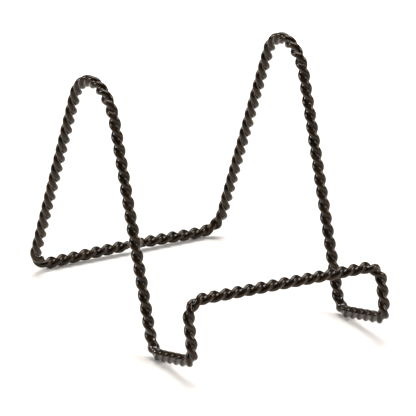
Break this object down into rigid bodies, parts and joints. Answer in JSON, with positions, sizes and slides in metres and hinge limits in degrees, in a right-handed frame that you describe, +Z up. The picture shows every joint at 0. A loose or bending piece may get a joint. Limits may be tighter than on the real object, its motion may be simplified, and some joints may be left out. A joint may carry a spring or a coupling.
{
  "type": "photo album stand",
  "caption": "Tabletop easel stand bent from a closed loop of twisted wire rope, with peaked side legs and turned-up feet joined by a low lip bar.",
  "frame": {"origin": "on the surface that the stand rests on, midway between the two side frames and midway from the lip bar to the back bar", "axes": "+Z up, +Y towards the back bar, +X to the right of someone who faces the stand"},
  "size_m": [0.125, 0.1902, 0.1426],
  "materials": {
    "coated_wire": "satin black coating over twisted steel wire",
    "weld_metal": "thinly coated weld, with a spot of rust"
  },
  "bodies": {
    "root": {"first_strand": "coated_wire", "second_strand": "coated_wire", "butt_weld": "weld_metal"}
  },
  "joints": []
}
